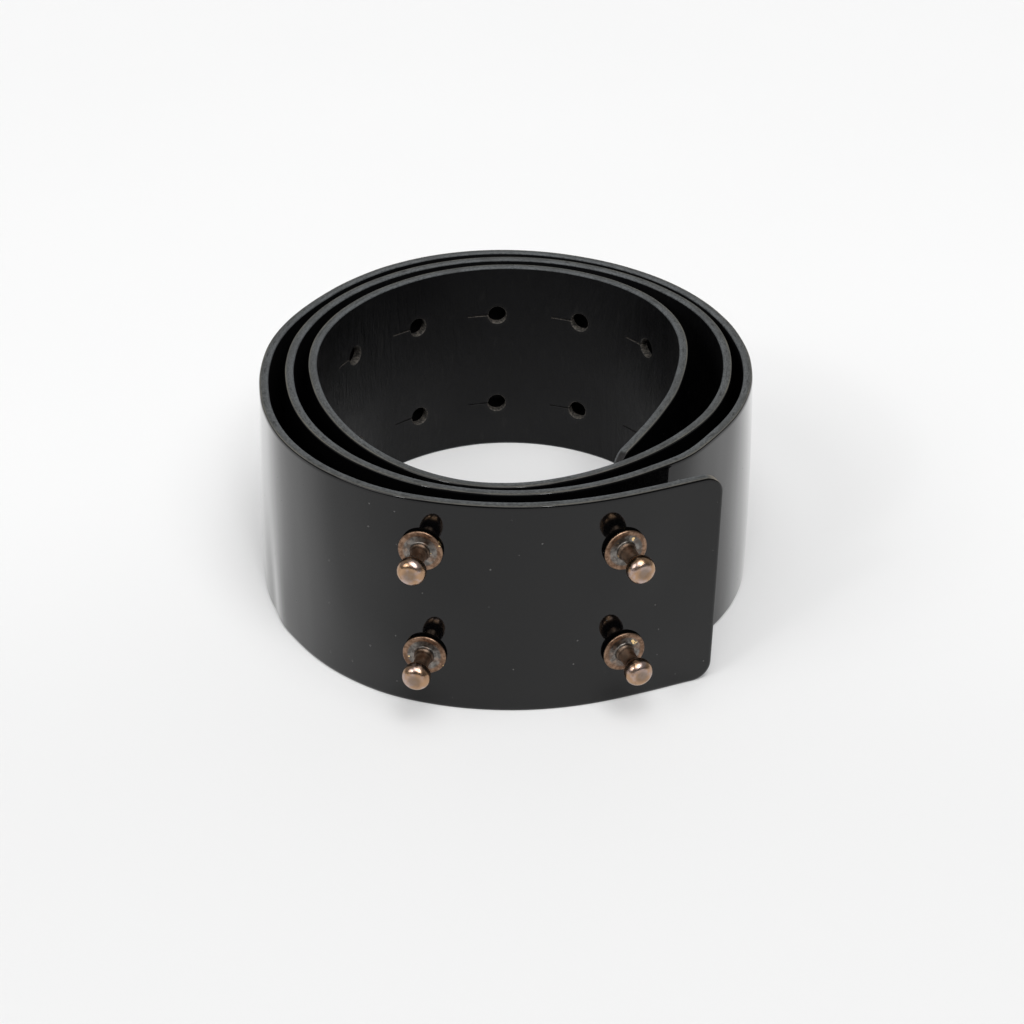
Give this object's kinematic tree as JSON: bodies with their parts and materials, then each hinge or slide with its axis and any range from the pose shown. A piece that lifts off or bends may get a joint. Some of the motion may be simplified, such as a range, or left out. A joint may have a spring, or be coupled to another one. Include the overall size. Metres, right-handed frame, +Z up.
{
  "type": "belt",
  "caption": "Wide patent leather belt rolled up on its long edge, with turned metal button studs near its outer end and rows of slit button holes near its inner end.",
  "frame": {"origin": "bottom centre of the belt's bounding box, on the surface that its long edge stands on", "axes": "+Z up across the strap's width, +Y from the studs towards the back of the coil, +X to the right when the studs face the viewer"},
  "size_m": [0.136, 0.158, 0.06],
  "materials": {
    "patent_leather": "black patent film, mirror gloss on both faces, raw grey-brown leather at the cut edges",
    "aged_copper": "antique copper plating, brown with a light patina, polished on the knobs",
    "screw_steel": "plain satin"
  },
  "bodies": {
    "root": {"strap": "patent_leather", "stud_upper_left": "aged_copper", "stud_lower_left": "aged_copper", "stud_upper_right": "aged_copper", "stud_lower_right": "aged_copper", "stud_screw_upper_left": "screw_steel", "stud_screw_lower_left": "screw_steel", "stud_screw_upper_right": "screw_steel", "stud_screw_lower_right": "screw_steel"}
  },
  "joints": []
}
